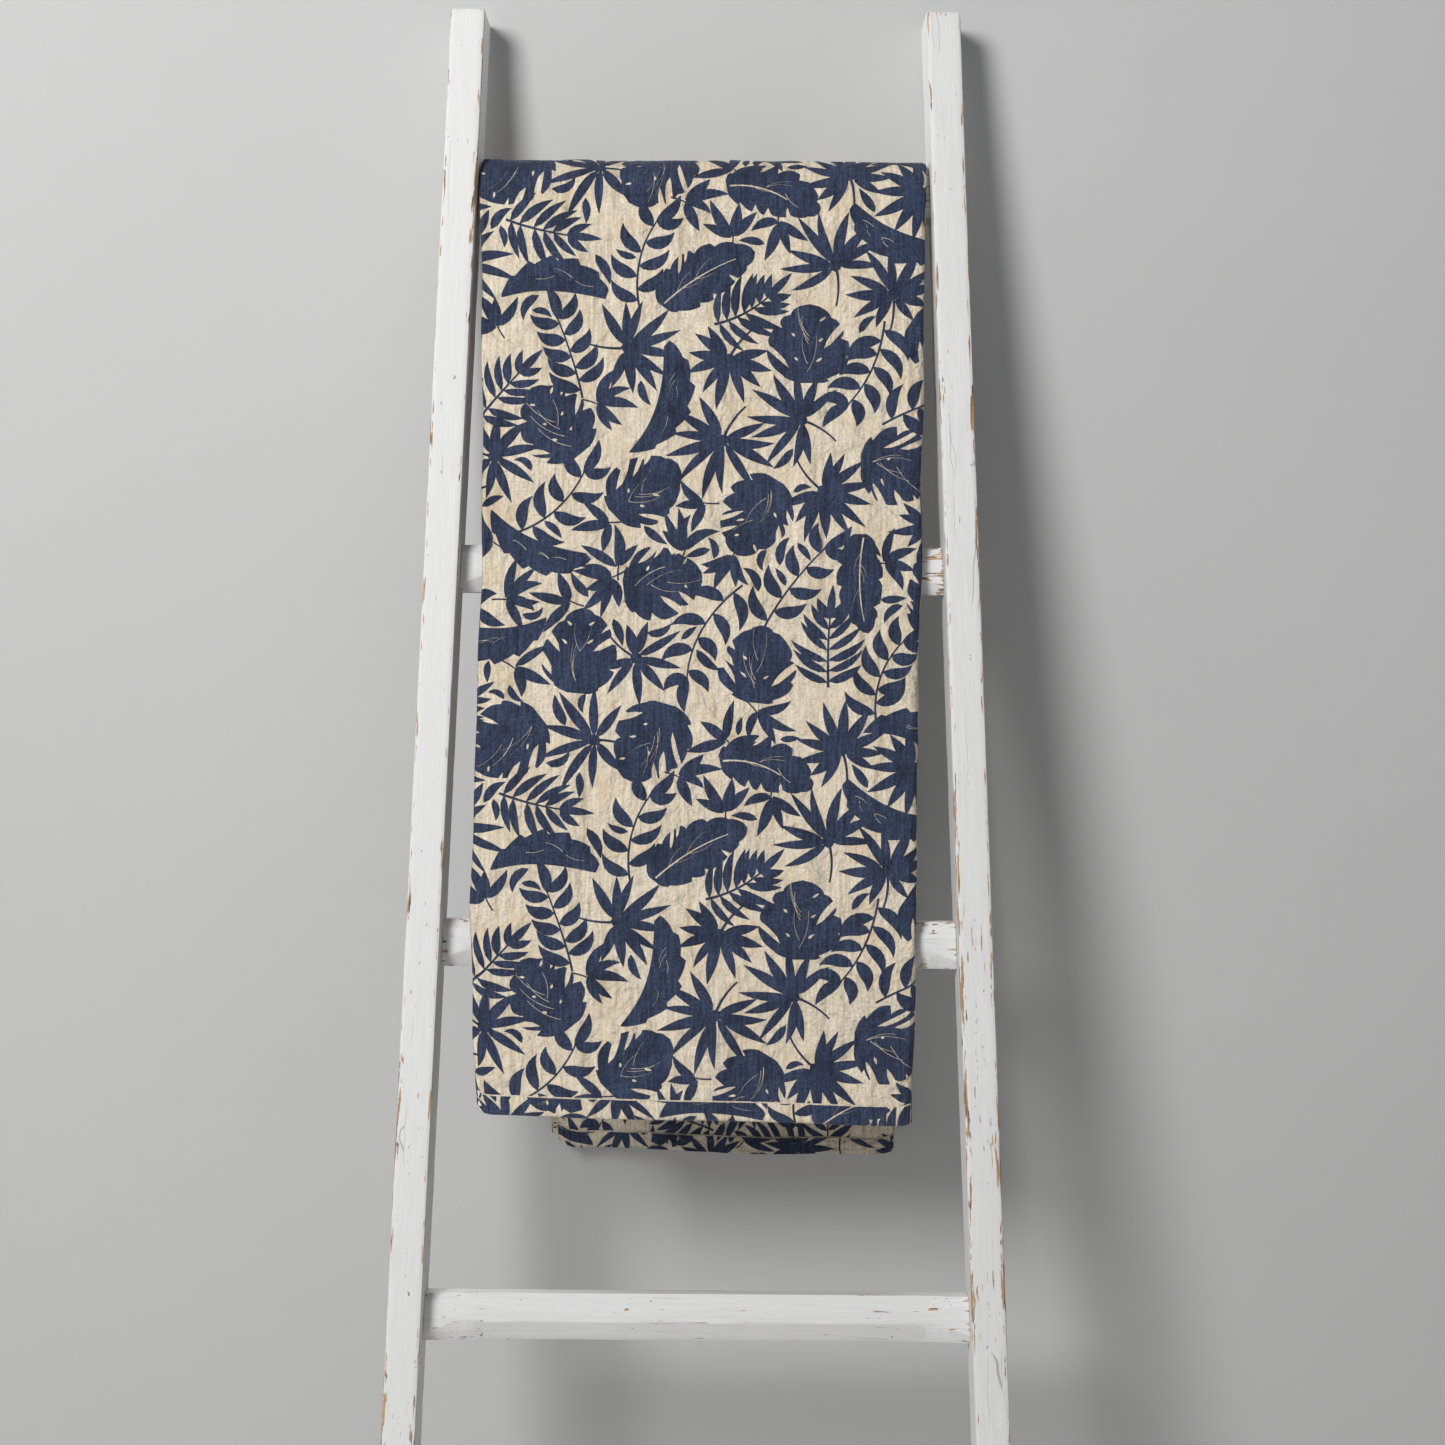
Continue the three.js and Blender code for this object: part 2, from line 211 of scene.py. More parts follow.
class Finish:
    """A procedural material under construction: short calls that add and join nodes."""

    def __init__(self, name):
        self.material = bpy.data.materials.new(name)
        self.material.use_nodes = True
        self.tree = self.material.node_tree
        self.shader = self.tree.nodes["Principled BSDF"]

    def add(self, kind, **values):
        node = self.tree.nodes.new("ShaderNode" + kind)
        for key, value in values.items():
            setattr(node, key, value)
        return node

    def join(self, source, target):
        self.tree.links.new(source, target)

    def feed(self, socket, value):
        """Sets a socket to a number or colour, or joins it to another node's output."""
        if isinstance(value, bpy.types.NodeSocket):
            self.join(value, socket)
        elif hasattr(value, "__len__") and len(value) == 3 and len(socket.default_value) == 4:
            socket.default_value = (*value, 1)
        else:
            socket.default_value = value

    def attribute(self, name, output):
        return self.add("Attribute", attribute_name=name).outputs[output]

    def uv(self, name):
        return self.add("UVMap", uv_map=name).outputs["UV"]

    def scaled(self, vector, scale, shift=(0, 0, 0)):
        node = self.add("Mapping")
        self.join(vector, node.inputs["Vector"])
        node.inputs["Location"].default_value = shift
        node.inputs["Scale"].default_value = scale
        return node.outputs["Vector"]

    def noise(self, vector, scale, detail=3.0, roughness=0.55):
        node = self.add("TexNoise")
        self.join(vector, node.inputs["Vector"])
        for key, value in zip(("Scale", "Detail", "Roughness"), (scale, detail, roughness)):
            node.inputs[key].default_value = value
        return node.outputs["Fac"]

    def cells(self, vector, scale):
        """How far points lie from the borders of irregular cells."""
        node = self.add("TexVoronoi", feature="DISTANCE_TO_EDGE")
        self.join(vector, node.inputs["Vector"])
        node.inputs["Scale"].default_value = scale
        return node.outputs["Distance"]

    def bent(self, vector, amount, scale):
        """The same coordinates pushed about by a soft noise, so that straight lines wander."""
        wander = self.add("TexNoise")
        self.join(vector, wander.inputs["Vector"])
        wander.inputs["Scale"].default_value = scale
        node = self.add("VectorMath", operation="MULTIPLY_ADD")
        self.join(wander.outputs["Color"], node.inputs[0])
        node.inputs[1].default_value = (amount, amount, amount)
        self.join(vector, node.inputs[2])
        return node.outputs["Vector"]

    def ramp(self, value, low, high, start=0.0, end=1.0):
        """A value that runs smoothly from start to end as the input goes from low to high."""
        node = self.add("MapRange", interpolation_type="SMOOTHSTEP")
        self.feed(node.inputs["Value"], value)
        for key, number in zip(("From Min", "From Max", "To Min", "To Max"),
                               (low, high, start, end)):
            node.inputs[key].default_value = number
        return node.outputs["Result"]

    def maths(self, operation, a, b):
        node = self.add("Math", operation=operation)
        self.feed(node.inputs[0], a)
        self.feed(node.inputs[1], b)
        return node.outputs["Value"]

    def plus(self, a, b):
        return self.maths("ADD", a, b)

    def times(self, a, b):
        return self.maths("MULTIPLY", a, b)

    def blend(self, share, a, b):
        """Colour b over colour a, by a share from 0 to 1."""
        node = self.add("Mix", data_type="RGBA")
        self.feed(node.inputs[0], share)
        self.feed(node.inputs[6], a)
        self.feed(node.inputs[7], b)
        return node.outputs[2]

    def surface(self, color, roughness, bumps=(), **constants):
        """Joins colour, roughness and a chain of (height, strength, distance) bumps."""
        self.feed(self.shader.inputs["Base Color"], color)
        self.feed(self.shader.inputs["Roughness"], roughness)
        for key, value in constants.items():
            self.feed(self.shader.inputs[key.replace("_", " ")], value)
        previous = None
        for height, strength, distance in bumps:
            node = self.add("Bump")
            node.inputs["Strength"].default_value = strength
            node.inputs["Distance"].default_value = distance
            self.join(height, node.inputs["Height"])
            if previous:
                self.join(previous, node.inputs["Normal"])
            previous = node.outputs["Normal"]
        if previous:
            self.join(previous, self.shader.inputs["Normal"])
        return self.material


def painted_wood(ladder):
    """Chalk paint brushed along the bar, chipped to brown wood, with open grain and cracks."""
    paint = Finish("chalk_paint")
    bar = paint.attribute("bar", "Vector")
    edge = paint.attribute("edge", "Fac")
    brushed = paint.scaled(bar, (1, 1, 0.045))
    streaks = paint.noise(brushed, 420, detail=4, roughness=0.7)
    grain = paint.noise(paint.scaled(bar, (1, 1, 0.02)), 900, detail=2)
    clouds = paint.noise(bar, 9, detail=3)
    color = paint.blend(paint.ramp(streaks, 0.3, 0.75), (0.66, 0.665, 0.665), ladder.paint)
    color = paint.blend(paint.ramp(clouds, 0.35, 0.75, 0.0, 0.35), color, (0.70, 0.69, 0.67))
    color = paint.blend(paint.ramp(grain, 0.66, 0.74, 0.0, 0.30), color, (0.45, 0.43, 0.41))

    fleck_grid = paint.scaled(paint.bent(bar, 0.01, 60), (1, 1, 0.45))
    flecks = paint.noise(fleck_grid, 210, detail=2.5, roughness=0.62)
    sparse = paint.ramp(paint.noise(bar, 14, detail=1), 0.40, 0.70, 0.0, 0.055)
    chipped = paint.ramp(paint.plus(flecks, sparse), 0.725, 0.745)
    scuffed = paint.ramp(paint.noise(paint.scaled(bar, (1, 1, 1), (0, 0, 1.7)), 4.0, detail=1),
                         0.50, 0.64, 0.0, 0.135)
    scratches = paint.noise(paint.scaled(bar, (1, 1, 0.10)), 330, detail=3, roughness=0.62)
    knocked = paint.plus(paint.times(edge, 0.17), scuffed)
    worn = paint.ramp(paint.plus(knocked, scratches), 0.765, 0.79)
    lost = paint.maths("MAXIMUM", chipped, worn)
    wood_tone = paint.noise(paint.scaled(bar, (1, 1, 0.06), (3, 1, 2)), 500, detail=3)
    wood = paint.blend(paint.ramp(wood_tone, 0.30, 0.6), (0.10, 0.066, 0.045), ladder.bare_wood)
    color = paint.blend(lost, color, wood)

    crack_grid = paint.scaled(paint.bent(bar, 0.012, 18), (1, 1, 0.035))
    open_cracks = paint.ramp(paint.cells(crack_grid, 46), 0.0, 0.012, 1.0, 0.0)
    somewhere = paint.ramp(paint.noise(bar, 12, detail=1), 0.58, 0.66)
    cracks = paint.times(open_cracks, somewhere)
    color = paint.blend(paint.times(cracks, 0.6), color, (0.16, 0.14, 0.12))

    height = paint.maths("SUBTRACT", streaks, paint.times(lost, 0.7))
    height = paint.maths("SUBTRACT", height, cracks)
    roughness = paint.ramp(streaks, 0.3, 0.7, 0.58, 0.74)
    return paint.surface(color, roughness, [(height, 0.40, 0.0004)], Specular_IOR_Level=0.35)


def plated_steel():
    """Dull zinc plate with fine scratches and a little dirt."""
    steel = Finish("zinc_plate")
    place = steel.add("TexCoord").outputs["Object"]
    scratches = steel.noise(steel.scaled(place, (1, 1, 0.2)), 1800, detail=3)
    dirt = steel.noise(place, 260, detail=4)
    color = steel.blend(steel.ramp(dirt, 0.45, 0.7), (0.50, 0.50, 0.51), (0.24, 0.21, 0.18))
    return steel.surface(color, steel.ramp(scratches, 0.3, 0.7, 0.3, 0.5),
                         [(scratches, 0.2, 0.0001)], Metallic=0.9)


def quilt_cloth(name, dark, light, stain_and_shade, slub_share, sheen):
    """Woven cloth with thick upright threads, stains, the crinkle that quilting leaves, and painted
    shade along its quilting seams.
    """
    cloth = Finish(name)
    place = cloth.uv("cloth")
    upright = cloth.noise(cloth.scaled(place, (1, 0.07, 1)), 380, detail=3, roughness=0.65)
    across = cloth.noise(cloth.scaled(place, (0.07, 1, 1)), 560, detail=2)
    heather = cloth.noise(place, 400, detail=3, roughness=0.75)
    slubs = cloth.noise(cloth.scaled(cloth.bent(place, 0.006, 30), (1, 0.06, 1)), 150, detail=3)
    threads = cloth.plus(cloth.times(upright, 0.42), cloth.times(across, 0.10))
    threads = cloth.plus(threads, cloth.times(heather, 0.48))
    color = cloth.blend(cloth.ramp(threads, 0.40, 0.62), dark, light)
    clouds = cloth.noise(place, 24, detail=5, roughness=0.62)
    color = cloth.blend(cloth.ramp(clouds, 0.46, 0.70, 0.0, 0.55), color, stain_and_shade)
    shade = cloth.ramp(slubs, 0.52, 0.72, 0.0, slub_share)
    color = cloth.blend(shade, color, tinted(stain_and_shade, 0.62))
    wander = cloth.bent(place, 0.06, 12)
    # Quilting seams: one mask dents them as grooves in the bump and darkens the colour along them
    # as painted shade.
    seams_and_shade = cloth.ramp(cloth.cells(cloth.scaled(wander, (1, 0.72, 1)), 15), 0.0, 0.030, 1.0, 0.0)
    partly = cloth.ramp(cloth.noise(place, 11, detail=1), 0.42, 0.62)
    seams_and_shade = cloth.times(seams_and_shade, partly)
    # Painted shade: the colour darkens towards a deep tan along the seam grooves.
    color = cloth.blend(cloth.times(seams_and_shade, 0.35), color, tinted(stain_and_shade, 0.55))
    crinkle = cloth.noise(cloth.scaled(cloth.bent(place, 0.03, 20), (1, 0.8, 1)), 34, detail=3)
    folds = cloth.noise(cloth.bent(place, 0.05, 9), 95, detail=2)
    weave = cloth.plus(threads, cloth.times(slubs, 0.4))
    return cloth.surface(
        color, 0.92,
        [(crinkle, 0.85, 0.012), (folds, 0.75, 0.005), (seams_and_shade, -0.7, 0.0018), (weave, 0.7, 0.0007)],
        Specular_IOR_Level=0.2, Sheen_Weight=sheen, Sheen_Roughness=0.5)


# --- rails, rungs and screws ---


def cad_copy(node):
    """A copy of a node's solid in the ladder's own frame, its flat faces made whole."""
    bm = bmesh.new()
    bm.from_mesh(frame["nodes"][node].data)
    bmesh.ops.remove_doubles(bm, verts=bm.verts, dist=1e-5)
    bmesh.ops.dissolve_limit(bm, angle_limit=radians(1.5), verts=bm.verts, edges=bm.edges)
    bmesh.ops.transform(bm, matrix=LADDER.inverted(), verts=bm.verts)
    return bm


def slice_bar(bm, normal, places):
    """Cuts a bar's faces by parallel planes at these distances along the normal."""
    normal = Vector(normal)
    for place in places:
        bmesh.ops.bisect_plane(
            bm, geom=[*bm.verts, *bm.edges, *bm.faces], dist=1e-6,
            plane_co=normal.normalized() * place, plane_no=normal)


def is_sharp(edge, least=0.12):
    return len(edge.link_faces) == 2 and edge.calc_face_angle(0) > least


def age_bar(bm, frame_of, dent, seed):
    """Marks the worn edges and knocks small dents into them. frame_of gives a point's place in
    the bar's own straight frame, z along the grain, which the paint's pattern follows."""
    edge_layer = bm.verts.layers.float.new("edge")
    bar_layer = bm.verts.layers.float_vector.new("bar")
    bm.normal_update()
    shift = Vector((0.37 * seed, 0.11 * seed, 0.53 * seed))
    for vert in bm.verts:
        vert[bar_layer] = frame_of(vert.co) + shift
        vert[edge_layer] = 1.0 if any(is_sharp(e) for e in vert.link_edges) else 0.0
    for vert in bm.verts:
        place = vert[bar_layer]
        wave = 0.00018 * noise.noise(place * 28)
        knock = max(0.0, noise.noise(Vector((place.x * 40, place.y * 40, place.z * 75))) - 0.22)
        vert.co += vert.normal * (wave - vert[edge_layer] * knock * dent)


def finish_bar(bm, name, paint):
    bmesh.ops.transform(bm, matrix=LADDER, verts=bm.verts)
    for edge in bm.edges:
        edge.smooth = not is_sharp(edge, radians(38))
    floor_verts = [v for v in bm.verts if v.co.z < 0]
    for vert in floor_verts:
        vert.co.z = 0
    bar = add_object(name, mesh_from(bm, name), paint)
    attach(bar, "rack")
    return bar


def build_rail(node, ladder, paint, seed):
    side = -1 if "left" in node else 1
    bm = cad_copy(node)
    ladder_steps = np.arange(0.02, RAIL_LENGTH, ladder.station)
    slice_bar(bm, (0, 0, 1), ladder_steps)
    band = 0.0055
    slice_bar(bm, (0, 1, 0), (band, RAIL_DEPTH / 2, RAIL_DEPTH - band))
    slant = Vector((side, 0, TAPER))
    for inset in (band, RAIL_WIDTH - band):
        slice_bar(bm, slant, [(FOOT_HALF - RAIL_WIDTH + inset) / slant.length])
    age_bar(
        bm, lambda co: Vector((side * co.x - inner_half(co.z), co.y, co.z)), ladder.dent, seed)
    rail = finish_bar(bm, node.replace("rail", "worn_rail"), paint)
    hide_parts(node)


def build_rung(node, ladder, paint, seed):
    bm = cad_copy(node)
    height = sum(v.co.z for v in bm.verts) / len(bm.verts)
    long_edges = [
        e for e in bm.edges
        if is_sharp(e) and abs((e.verts[0].co - e.verts[1].co).normalized().x) > 0.7
        and e.calc_length() > 0.02]
    bmesh.ops.bevel(
        bm, geom=long_edges, offset=0.0009, segments=2, profile=0.5, affect="EDGES",
        material=-1, clamp_overlap=True)
    half = inner_half(height)
    slice_bar(bm, (1, 0, 0), np.arange(-half + 0.006, half - 0.005, ladder.station))
    cross_edges = [
        e for e in bm.edges
        if abs((e.verts[0].co - e.verts[1].co).x) < 1e-5 and e.calc_length() > 0.007]
    bmesh.ops.subdivide_edges(bm, edges=cross_edges, cuts=3, use_grid_fill=True)
    age_bar(bm, lambda co: Vector((co.z - height, co.y, co.x)), ladder.dent, seed)
    rung = finish_bar(bm, node.replace("rung", "worn_rung"), paint)
    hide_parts(node)


def build_screw(node, steel):
    """A countersunk screw along x, spun from its outline, with a cross recess in its head."""
    low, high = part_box(node)
    side = -1 if node.endswith("left") else 1
    length = high[0] - low[0]
    middle = Vector((0, (low[1] + high[1]) / 2, (low[2] + high[2]) / 2))
    head_radius = (high[1] - low[1]) / 2
    shank_radius = 0.49 * head_radius
    bm = bmesh.new()
    outline = [(0, head_radius * 0.72), (0, head_radius), (0.0007, head_radius),
               (0.0033, shank_radius), (length - 0.005, shank_radius), (length, 0.0002)]
    verts = [bm.verts.new((distance, radius, 0)) for distance, radius in outline]
    edges = [bm.edges.new(pair) for pair in zip(verts, verts[1:])]
    bmesh.ops.spin(
        bm, geom=[*verts, *edges], cent=(0, 0, 0), axis=(1, 0, 0), angle=2 * pi, steps=24,
        use_merge=True)
    bmesh.ops.remove_doubles(bm, verts=bm.verts, dist=1e-6)
    rims = bmesh.ops.holes_fill(bm, edges=[e for e in bm.edges if e.is_boundary], sides=0)
    face = min(rims["faces"], key=lambda f: f.calc_center_median().x)
    bmesh.ops.inset_individual(bm, faces=[face], thickness=head_radius * 0.06)
    arm, wall = head_radius * 0.60, head_radius * 0.15
    for vert in face.verts:
        turn = atan2(vert.co.z, vert.co.y)
        angle = turn % (pi / 2)
        reach = min(arm / max(cos(angle), sin(angle)),
                    wall / max(1e-3, min(cos(angle), sin(angle))))
        vert.co = Vector((0, reach * cos(turn), reach * sin(turn)))
    pushed = bmesh.ops.extrude_face_region(bm, geom=[face])
    floor_verts = [v for v in pushed["geom"] if isinstance(v, bmesh.types.BMVert)]
    bmesh.ops.translate(bm, verts=floor_verts, vec=(0.0014, 0, 0))
    bmesh.ops.delete(bm, geom=[face], context="FACES_ONLY")
    bmesh.ops.recalc_face_normals(bm, faces=bm.faces)
    flip = Matrix.Scale(-side, 4, (1, 0, 0))
    start = high[0] if side > 0 else low[0]
    bmesh.ops.transform(
        bm, matrix=Matrix.Translation(middle + Vector((start, 0, 0))) @ flip, verts=bm.verts)
    bmesh.ops.recalc_face_normals(bm, faces=bm.faces)
    for edge in bm.edges:
        edge.smooth = not is_sharp(edge, radians(35))
    screw = add_object(node.replace("screw", "wood_screw"), mesh_from(bm, node), steel)
    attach(screw, "rack")
    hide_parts(node)


# --- the quilt's folded form ---

REAR_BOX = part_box("binding_rear")
STACK_AT_RUNG = 0.012
STACK_AT_HEM = REAR_BOX[1][1] - REAR_BOX[0][1]
BINDING_HEIGHT = REAR_BOX[1][2] - REAR_BOX[0][2]
TOP_RUNG = LADDER.inverted() @ ((Vector(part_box("rung_1")[0]) + Vector(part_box("rung_1")[1])) / 2)
BEND_CENTRE = Vector((0, TOP_RUNG.y + 0.001, TOP_RUNG.z + 0.0030))
BEND_RADIUS = 0.021
BEND_TURN = pi - LEAN
FRONT_HEM = 0.7435
REAR_HEM = REAR_BOX[0][2]
BEND_WORLD = LADDER @ BEND_CENTRE
FRONT_RUN = BEND_CENTRE.z - FRONT_HEM
BEND_RUN = (BEND_RADIUS + STACK_AT_RUNG) * BEND_TURN
SHEET_LENGTH = FRONT_RUN + BEND_RUN + BEND_WORLD.z - REAR_HEM
CELL = 0.008
FOLD_INSET = 0.004
HANG_DEPTH = 0.0235  # how far the front drop's inner side hangs behind the rails' front
SLACK_FROM = 1.35  # the height along the ladder where it has left the top rung's slope
BINDING_FACE = 0.0015
BINDING_HEM = 0.0012
BINDING_UV = (0.31, 0.77)
INK_LIFT = 0.00045
# Where the folded stack's edges lie at some distances along the sheet, from hem to hem.
EDGE_STOPS = (0.0, 0.20, 0.36, 0.60, 0.80, 0.95, 1.10, 1.55, SHEET_LENGTH)
LEFT_EDGE = (-0.2195, -0.2270, -0.2225, -0.2170, -0.2195, -0.2215, -0.2200, -0.196, -0.163)
RIGHT_EDGE = (0.2125, 0.2145, 0.2155, 0.2170, 0.2185, 0.2215, 0.2200, 0.219, 0.2135)


def layer_place(u, stack, left, right, quarter):
    """Where points of the flat sheet lie across the folded stack: their x, and their height
    above its inner side. The sheet runs left to right against the rung, turns round the right
    edge to the front, comes back, turns in at the left, and doubles back once more inside."""
    levels = (0.0, stack, stack * 2 / 3, stack / 3)
    starts = (left + 2 * FOLD_INSET, right, left, right - 2 * FOLD_INSET)
    ends = (right, left, right - 2 * FOLD_INSET, left + 3 * FOLD_INSET)
    x = height = 0.0
    for layer in range(4):
        rise_in = abs(levels[layer] - levels[layer - 1]) / 2 if layer else 0.0
        rise_out = abs(levels[layer + 1] - levels[layer]) / 2 if layer < 3 else 0.0
        begin = layer * quarter + rise_in * pi / 2
        finish = (layer + 1) * quarter - rise_out * pi / 2
        way = 1 if layer % 2 == 0 else -1
        share = (u - begin) / (finish - begin)
        low = starts[layer] + way * rise_in
        high = ends[layer] - way * rise_out
        inside = (u >= layer * quarter) & (u <= (layer + 1) * quarter)
        x = np.where(inside, low + (high - low) * share, x)
        height = np.where(inside, levels[layer], height)
    for fold in range(3):
        radius = abs(levels[fold + 1] - levels[fold]) / 2
        reach = radius * pi / 2
        turn = (u - (fold + 1) * quarter) / reach
        near = abs(turn) < 1
        angle = np.clip(turn, -1, 1) * pi / 2
        way = 1 if fold % 2 == 0 else -1
        up = np.sign(levels[fold + 1] - levels[fold])
        x = np.where(near, ends[fold] - way * radius * (1 - np.cos(angle)), x)
        middle = (levels[fold + 1] + levels[fold]) / 2
        height = np.where(near, middle + up * radius * np.sin(angle), height)
    return x, height


def drape(u, v, lift, quarter):
    """Points of the hung quilt. u and v are where they lie on the flat sheet, and lift is how
    far they stand off its printed side."""
    u = np.clip(u, 0, 4 * quarter)
    near_hem = np.minimum(np.abs(v), np.abs(SHEET_LENGTH - v))
    stack = STACK_AT_RUNG + (STACK_AT_HEM - STACK_AT_RUNG) * np.clip(
        np.where(v < FRONT_RUN, 1 - v / FRONT_RUN,
                 (v - FRONT_RUN - BEND_RUN) / (SHEET_LENGTH - FRONT_RUN - BEND_RUN)), 0, 1)
    left = np.interp(v, EDGE_STOPS, LEFT_EDGE)
    right = np.interp(v, EDGE_STOPS, RIGHT_EDGE)
    left = left + 0.0012 * ripple(v, 0 * v, 0.11, 3)
    right = right + 0.0012 * ripple(v, 0 * v, 0.13, 4)
    x, height = layer_place(u, stack, left, right, quarter)
    facing = np.where((u < quarter) | (u > 2 * quarter) & (u < 3 * quarter), -1.0, 1.0)
    puff = 0.0009 * ripple(u, v, 0.042, 21, waves=12)
    height = height + facing * puff
    from_bend = np.abs(v - FRONT_RUN - BEND_RUN / 2) - BEND_RUN / 2
    loose = smoothstep(0.0, 0.25, from_bend)
    swell = 0.0022 * (ripple(x, v, 0.26, 5) + 0.6) + 0.0012 * ripple(x, v, 0.12, 6)
    curl = 0.004 * smoothstep(0.10, 0.0, near_hem) * ripple(x, 0 * v, 0.16, 7)
    height = height + loose * np.maximum(swell + curl, 0) + lift * facing

    tilt = 1 - smoothstep(0.0, 0.5, near_hem)
    at_rear = v > SHEET_LENGTH / 2
    reach, rise = np.where(at_rear, 0.036, 0.016), np.where(at_rear, 0.012, 0.0045)
    corner = smoothstep(reach, 0.0, x - left) ** 2 + 0.5 * smoothstep(reach, 0.0, right - x) ** 2
    sag = tilt * (0.020 * x - rise * corner)
    along = FRONT_HEM + v - sag
    eased = smoothstep(SLACK_FROM, BEND_CENTRE.z, along)
    depth = (BEND_CENTRE.y - BEND_RADIUS) * eased + HANG_DEPTH * (1 - eased) - height
    front_y = LADDER.translation.y + depth * cos(LEAN) + along * sin(LEAN)
    front_z = along * cos(LEAN) - depth * sin(LEAN)
    angle = BEND_TURN * (1 - np.clip((v - FRONT_RUN) / BEND_RUN, 0, 1))
    bend_y = BEND_WORLD.y + (BEND_RADIUS + height) * np.cos(angle)
    bend_z = BEND_WORLD.z + (BEND_RADIUS + height) * np.sin(angle)
    rear_y = BEND_WORLD.y + BEND_RADIUS + height
    rear_z = BEND_WORLD.z - (v - FRONT_RUN - BEND_RUN) - sag
    on_front, on_rear = v < FRONT_RUN, v > FRONT_RUN + BEND_RUN
    y = np.where(on_front, front_y, np.where(on_rear, rear_y, bend_y))
    z = np.where(on_front, front_z, np.where(on_rear, rear_z, bend_z))
    return np.stack([x, y, z], axis=-1)


def fold_columns(quarter):
    """The places across the sheet where its mesh has a column: close at the folds."""
    fine = set(np.round(np.arange(0, 2 * quarter + CELL / 2, CELL), 6))
    for middle in (quarter, 2 * quarter):
        fine |= {round(middle + side * off, 6) for side in (-1, 1) for off in (0.004, 0.012)}
    coarse = set(np.round(np.arange(2 * quarter + 0.024, 4 * quarter + 0.001, 0.024), 6))
    coarse |= {round(3 * quarter + off, 6) for off in (-0.004, -0.002, 0.002, 0.004)}
    return np.array(sorted(fine | coarse | {2 * quarter + CELL, 4 * quarter}))


def sheet_rows():
    return np.append(np.arange(0, SHEET_LENGTH - CELL / 2, CELL), SHEET_LENGTH)


def set_places(mesh, points, flat):
    """Moves a mesh's vertices to these points and keeps their flat places as its UV map."""
    mesh.vertices.foreach_set("co", points.ravel())
    corner = np.zeros(len(mesh.loops), dtype=np.int32)
    mesh.loops.foreach_get("vertex_index", corner)
    layer = mesh.uv_layers.new(name="cloth")
    layer.data.foreach_set("uv", flat[corner].ravel())
    mesh.update()


def weld(mesh, gap, close=False):
    """Joins a mesh's doubled vertices and, if close, fills its open ends."""
    bm = bmesh.new()
    bm.from_mesh(mesh)
    bmesh.ops.remove_doubles(bm, verts=bm.verts, dist=gap)
    if close:
        bmesh.ops.holes_fill(bm, edges=[e for e in bm.edges if e.is_boundary], sides=0)
        bmesh.ops.recalc_face_normals(bm, faces=bm.faces)
    bm.to_mesh(mesh)
    bm.free()
    mesh.polygons.foreach_set("use_smooth", [True] * len(mesh.polygons))


def grid_mesh(name, columns, rows):
    """A flat grid with a vertex for every column and row, and each vertex's (u, v)."""
    bm = bmesh.new()
    bmesh.ops.create_grid(bm, x_segments=len(columns) - 1, y_segments=len(rows) - 1, size=1)
    places = np.array([v.co[:2] for v in bm.verts])
    column = np.round((places[:, 0] + 1) / 2 * (len(columns) - 1)).astype(int)
    row = np.round((places[:, 1] + 1) / 2 * (len(rows) - 1)).astype(int)
    bmesh.ops.reverse_faces(bm, faces=bm.faces)
    return mesh_from(bm, name), columns[column], rows[row]


def build_quilt(quilt, linen):
    columns, rows = fold_columns(quilt.quarter), sheet_rows()
    mesh, u, v = grid_mesh("quilt_sheet", columns, rows)
    set_places(mesh, drape(u, v, 0.0, quilt.quarter), np.stack([u, v], axis=-1))
    piece = add_object("folded_quilt", mesh, linen)
    wadding = piece.modifiers.new("wadding", "SOLIDIFY")
    wadding.thickness = quilt.cloth_thickness
    wadding.offset = -1
    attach(piece, "quilt")
    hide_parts("quilt")
    return piece


def build_binding(name, node, at_start, quilt, linen):
    """The folded strip sewn over one end of the sheet, as a closed band round its edge."""
    columns = fold_columns(quilt.quarter)
    joint = 1.115 * quilt.quarter
    columns = np.array(sorted({*columns, joint - 0.0015, joint, joint + 0.0015}))
    back = -quilt.cloth_thickness
    height = BINDING_HEIGHT
    loop = [(height, 0.0006), (height - BINDING_HEM, 0.0012), (height * 0.6, BINDING_FACE),
            (0.004, 0.0014), (0.0008, 0.0009), (-0.0006, back / 2), (0.0008, back - 0.0009),
            (0.004, back - 0.0014), (height * 0.6, back - 0.0014), (height - 0.001, back - 0.001),
            (height, back * 0.8)]
    mesh, u, row = grid_mesh(name, columns, np.arange(len(loop) + 1.0))
    inward, lift = np.array([loop[int(r) % len(loop)] for r in row]).T
    seam = np.exp(-((u - joint) / 0.0012) ** 2)
    lift = lift - 0.0007 * seam * np.sign(lift - back / 2)
    v = inward if at_start else SHEET_LENGTH - inward
    flat = np.stack([u, v + row * 0.004], axis=-1) + BINDING_UV
    set_places(mesh, drape(u, v, lift, quilt.quarter), flat)
    weld(mesh, 1e-6, close=True)
    piece = add_object(name, mesh, linen)
    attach(piece, "quilt")
    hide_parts(node)
    return piece


# --- the leaf print ---

TILE = (0.640, 0.568)
RASTER = 0.002
TRIES = 40
CLOSE_HALO, APART_HALO = 4, 12


def way(angle):
    """A unit step along a heading."""
    return np.array([cos(angle), sin(angle)])


def across(angle):
    """A unit step to the left of a heading."""
    return np.array([-sin(angle), cos(angle)])


def blade(start, heading, length, width, bend=0.0, curl=0.0, fullness=0.85, steps=7):
    """The outline of one leaf, up its right side and down its left. bend turns it one way over
    its length and curl turns it one way and then the other."""
    place, left, right = np.array(start, float), [], []
    for step in range(steps + 1):
        t = step / steps
        angle = heading + bend * (t - 0.5) + curl * cos(pi * t)
        half = 0.5 * width * sin(pi * min(1, t + 0.02) ** 0.85) ** fullness if t < 1 else 0
        side = across(angle)
        left.append(place + half * side)
        right.append(place - half * side)
        place = place + length / steps * way(angle)
    return right + left[-2:0:-1]


